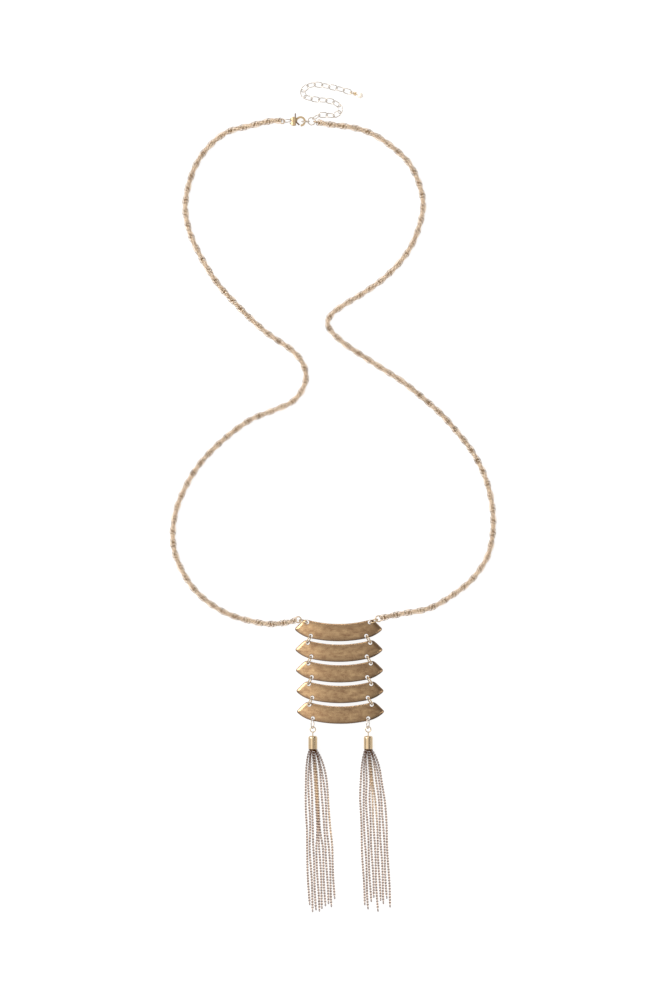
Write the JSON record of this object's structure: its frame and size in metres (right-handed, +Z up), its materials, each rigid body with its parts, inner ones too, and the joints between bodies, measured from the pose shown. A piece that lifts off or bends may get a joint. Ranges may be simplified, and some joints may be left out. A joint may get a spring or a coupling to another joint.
{
  "type": "tassel necklace",
  "caption": "Long twisted rope-chain necklace with a ladder of curved plates, two fine-chain tassels and a lobster clasp with an extender chain.",
  "frame": {"origin": "middle of the necklace's bounding box on the surface that it lies on, so z = 0 is that surface", "axes": "+Z up out of the surface, +Y from the tassels towards the clasp, +X to the right as it is seen from above"},
  "size_m": [0.196, 0.4991, 0.0067],
  "materials": {
    "plates": "antique brass, brushed and softly mottled",
    "jump_rings": "polished pale gold plate",
    "rope_chain": "polished champagne gold plate",
    "tassel_caps": "polished gold plate",
    "tassel_chain": "polished antique gold plate, darker between the links",
    "clasp": "polished pale gold plate",
    "clasp_lever": "dark polished plate",
    "extender": "polished pale gold plate",
    "bead": "smooth and glossy, pearly"
  },
  "bodies": {
    "necklace": {"plate_1": "plates", "plate_2": "plates", "plate_3": "plates", "plate_4": "plates", "plate_5": "plates", "plate_ring_left_1": "jump_rings", "plate_ring_left_2": "jump_rings", "plate_ring_left_3": "jump_rings", "plate_ring_left_4": "jump_rings", "plate_ring_right_1": "jump_rings", "plate_ring_right_2": "jump_rings", "plate_ring_right_3": "jump_rings", "plate_ring_right_4": "jump_rings", "chain_ring_left": "jump_rings", "tassel_ring_left": "jump_rings", "tassel_cap_left": "tassel_caps", "tassel_left": "tassel_chain", "rope_chain_left": "rope_chain", "chain_ring_right": "jump_rings", "tassel_ring_right": "jump_rings", "tassel_cap_right": "tassel_caps", "tassel_right": "tassel_chain", "rope_chain_right": "rope_chain", "clasp_body": "clasp", "clasp_tail_ring": "jump_rings", "catch_ring": "jump_rings", "end_ring": "jump_rings", "extender_link_01": "extender", "extender_link_02": "extender", "extender_link_03": "extender", "extender_link_04": "extender", "extender_link_05": "extender", "extender_link_06": "extender", "extender_link_07": "extender", "extender_link_08": "extender", "extender_link_09": "extender", "extender_link_10": "extender", "extender_link_11": "extender", "extender_link_12": "extender", "extender_link_13": "extender", "extender_link_14": "extender", "extender_link_15": "extender", "extender_link_16": "extender", "extender_link_17": "extender", "extender_link_18": "extender", "extender_drop": "jump_rings", "extender_bead": "bead"},
    "clasp_lever": {"clasp_lever": "clasp_lever"}
  },
  "joints": [
    {"name": "clasp_lever_hinge", "type": "hinge", "parent": "necklace", "child": "clasp_lever", "pos_m": [-0.0226, 0.2258, 0.00145], "axis": [0, 0, 1], "range_deg": [0, 25], "stiffness_Nm_per_rad": 0.005, "springref_deg": -2.86}
  ]
}
